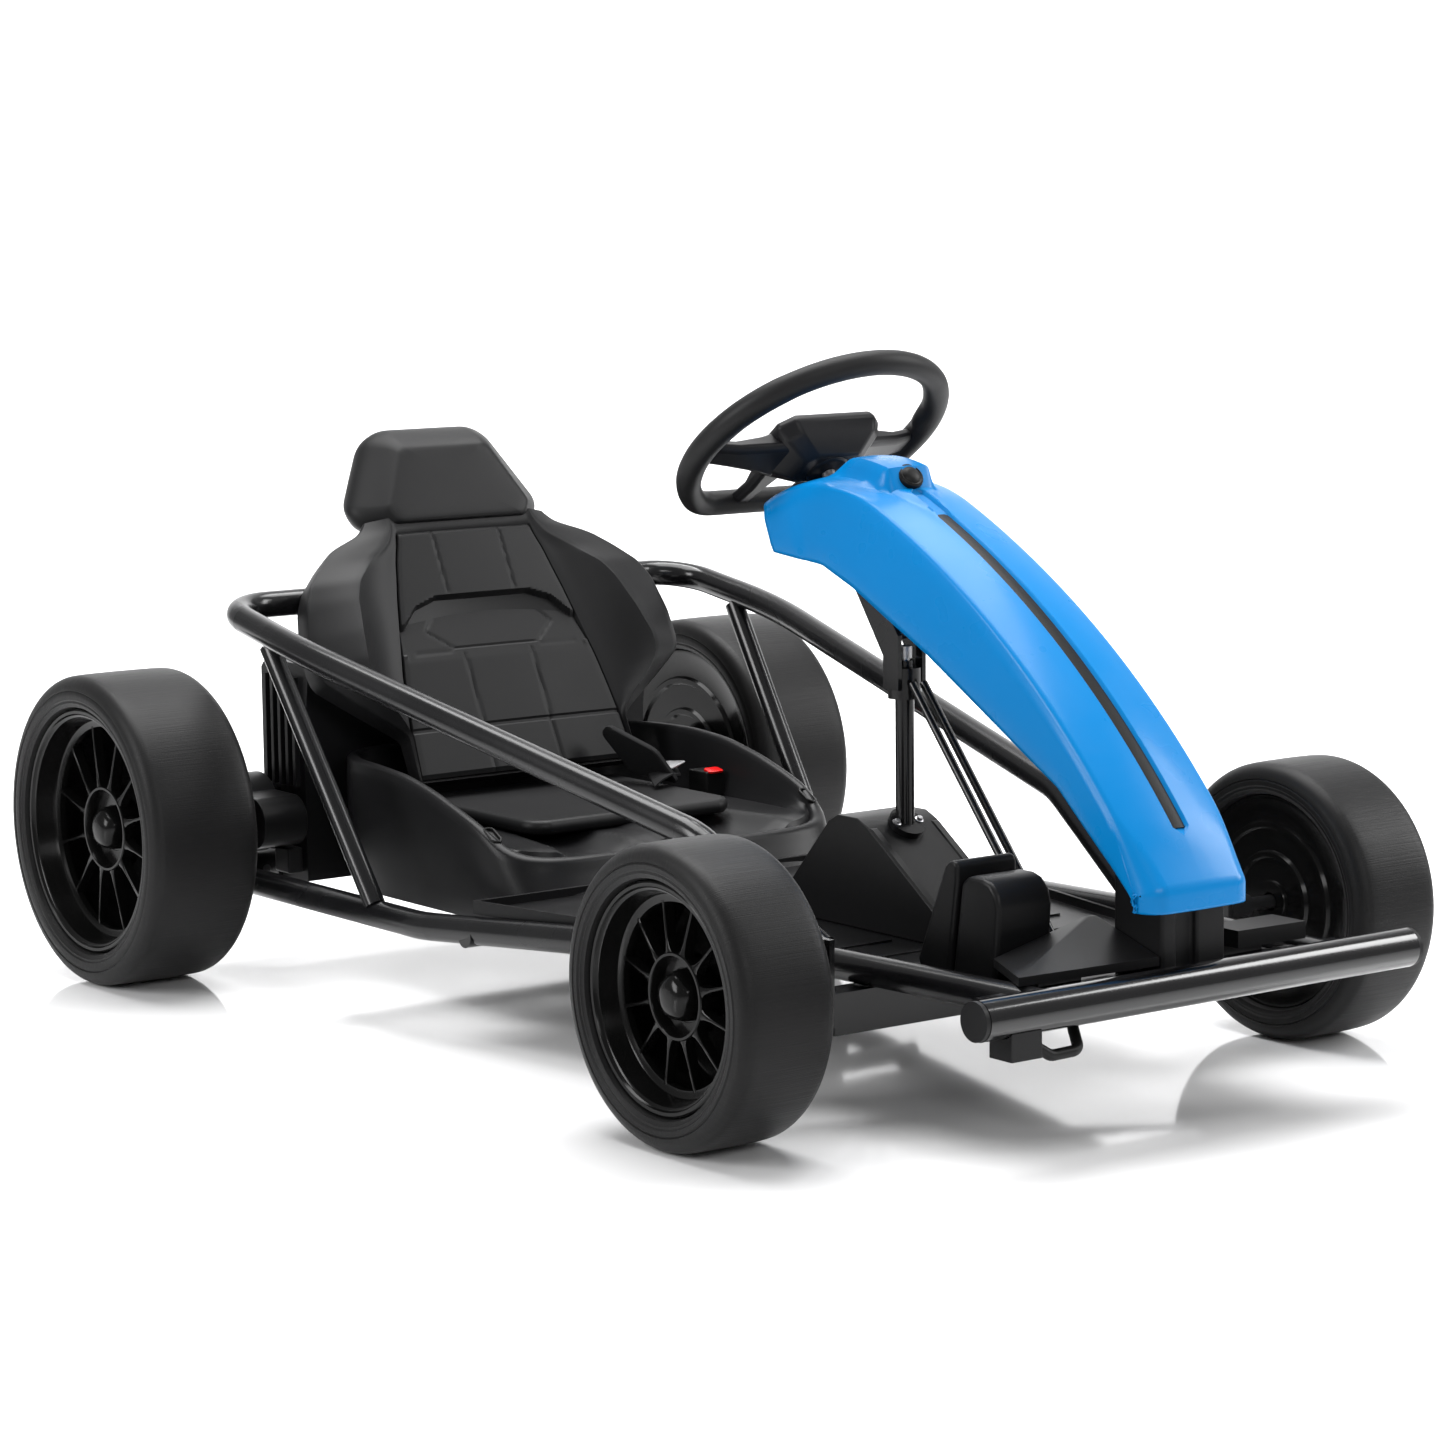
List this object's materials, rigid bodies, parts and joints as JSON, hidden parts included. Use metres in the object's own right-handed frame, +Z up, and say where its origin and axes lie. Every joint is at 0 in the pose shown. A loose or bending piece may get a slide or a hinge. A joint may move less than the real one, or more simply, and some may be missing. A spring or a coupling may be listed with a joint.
{
  "type": "electric drift kart",
  "caption": "Low child's electric drift kart: black tube frame with a side hoop, bucket seat, long blue fairing over the steering and slick tyres on spoked rims.",
  "frame": {"origin": "centre of the kart's footprint on the ground: middle of the bounding box in X and Y, bottom of the tyres in Z", "axes": "+Z up; the kart faces -Y; +X is the driver's left side; +Y points to the rear"},
  "size_m": [0.797, 1.24, 0.5956],
  "materials": {
    "frame_black": "satin black paint",
    "bumper_black": "satin black paint",
    "cap_black": "matte",
    "fairing_azure": "glossy, coloured through",
    "inlay_black": "glossy",
    "body_black": "fine moulded grain",
    "seat_black": "satin with a fine grain",
    "seat_panel": "satin with a fine grain",
    "belt_web": "woven",
    "buckle_black": "semi-gloss",
    "axle_steel": "zinc grey",
    "knuckle_dark": "dark grey, satin",
    "cable_black": "smooth",
    "wheel_grip": "soft grip, satin",
    "wheel_centre": "satin",
    "tyre_black": "soft sheen",
    "rim_black": "glossy"
  },
  "bodies": {
    "chassis": {"side_tubes": "frame_black", "cross_members": "frame_black", "side_hoop": "frame_black", "hoop_struts": "frame_black", "bumper_plate": "frame_black", "front_axle_beam": "frame_black", "steering_post": "frame_black", "column_bracket": "frame_black", "brace_rods": "frame_black", "front_bumper": "bumper_black", "bumper_caps": "cap_black", "plug_housing": "cap_black", "battery_latch": "cap_black", "fairing_shell": "fairing_azure", "fairing_inlay": "inlay_black", "floor_tray": "body_black", "steering_tunnel": "body_black", "nose_block": "body_black", "pedal_housing": "body_black", "accelerator_pedal": "body_black", "toe_ramps": "body_black", "hip_tub": "body_black", "battery_box": "body_black", "drive_gearboxes": "body_black", "seat_back": "seat_black", "headrest": "seat_black", "seat_back_panel": "seat_panel", "seat_cushion": "seat_panel", "lap_belt": "belt_web", "belt_buckle": "buckle_black", "front_cable": "cable_black", "rear_axle": "axle_steel"},
    "steering_wheel": {"steering_wheel_rim": "wheel_grip", "steering_wheel_hub": "wheel_centre", "steering_column": "axle_steel"},
    "lower_steering": {"lower_shaft": "axle_steel"},
    "rod_left": {"tie_rod_left": "axle_steel"},
    "rod_right": {"tie_rod_right": "axle_steel"},
    "knuckle_left": {"knuckle_left": "knuckle_dark"},
    "knuckle_right": {"knuckle_right": "knuckle_dark"},
    "wheel_front_left": {"tyre_front_left": "tyre_black", "rim_front_left": "rim_black"},
    "wheel_front_right": {"tyre_front_right": "tyre_black", "rim_front_right": "rim_black"},
    "wheel_rear_left": {"tyre_rear_left": "tyre_black", "rim_rear_left": "rim_black"},
    "wheel_rear_right": {"tyre_rear_right": "tyre_black", "rim_rear_right": "rim_black"}
  },
  "joints": [
    {"name": "steering_turn", "type": "hinge", "parent": "chassis", "child": "steering_wheel", "pos_m": [0, -0.122, 0.516], "axis": [0, 0.6018, 0.7986], "range_deg": [-28, 28]},
    {"name": "lower_shaft_turn", "type": "hinge", "parent": "chassis", "child": "lower_steering", "pos_m": [0, -0.244, 0.1], "axis": [0, 0, 1], "range_deg": [-28, 28]},
    {"name": "rod_left_swing", "type": "hinge", "parent": "lower_steering", "child": "rod_left", "pos_m": [0.012, -0.194, 0.088], "axis": [0, 0, 1], "range_deg": [-28, 28]},
    {"name": "rod_right_swing", "type": "hinge", "parent": "lower_steering", "child": "rod_right", "pos_m": [-0.012, -0.194, 0.088], "axis": [0, 0, 1], "range_deg": [-28, 28]},
    {"name": "knuckle_left_turn", "type": "hinge", "parent": "chassis", "child": "knuckle_left", "pos_m": [0.226, -0.388, 0.12], "axis": [0, 0, 1], "range_deg": [-28, 28]},
    {"name": "knuckle_right_turn", "type": "hinge", "parent": "chassis", "child": "knuckle_right", "pos_m": [-0.226, -0.388, 0.12], "axis": [0, 0, 1], "range_deg": [-28, 28]},
    {"name": "wheel_front_left_spin", "type": "hinge", "parent": "knuckle_left", "child": "wheel_front_left", "pos_m": [0.322, -0.388, 0.12], "axis": [1, 0, 0], "continuous": true},
    {"name": "wheel_front_right_spin", "type": "hinge", "parent": "knuckle_right", "child": "wheel_front_right", "pos_m": [-0.322, -0.388, 0.12], "axis": [1, 0, 0], "continuous": true},
    {"name": "wheel_rear_left_spin", "type": "hinge", "parent": "chassis", "child": "wheel_rear_left", "pos_m": [0.343, 0.475, 0.145], "axis": [1, 0, 0], "continuous": true},
    {"name": "wheel_rear_right_spin", "type": "hinge", "parent": "chassis", "child": "wheel_rear_right", "pos_m": [-0.343, 0.475, 0.145], "axis": [1, 0, 0], "continuous": true}
  ],
  "couplings": [
    {"joint": "lower_shaft_turn", "follows": "steering_turn", "ratio": 1},
    {"joint": "rod_left_swing", "follows": "steering_turn", "ratio": -1},
    {"joint": "rod_right_swing", "follows": "steering_turn", "ratio": -1},
    {"joint": "knuckle_left_turn", "follows": "steering_turn", "ratio": 1},
    {"joint": "knuckle_right_turn", "follows": "steering_turn", "ratio": 1}
  ]
}
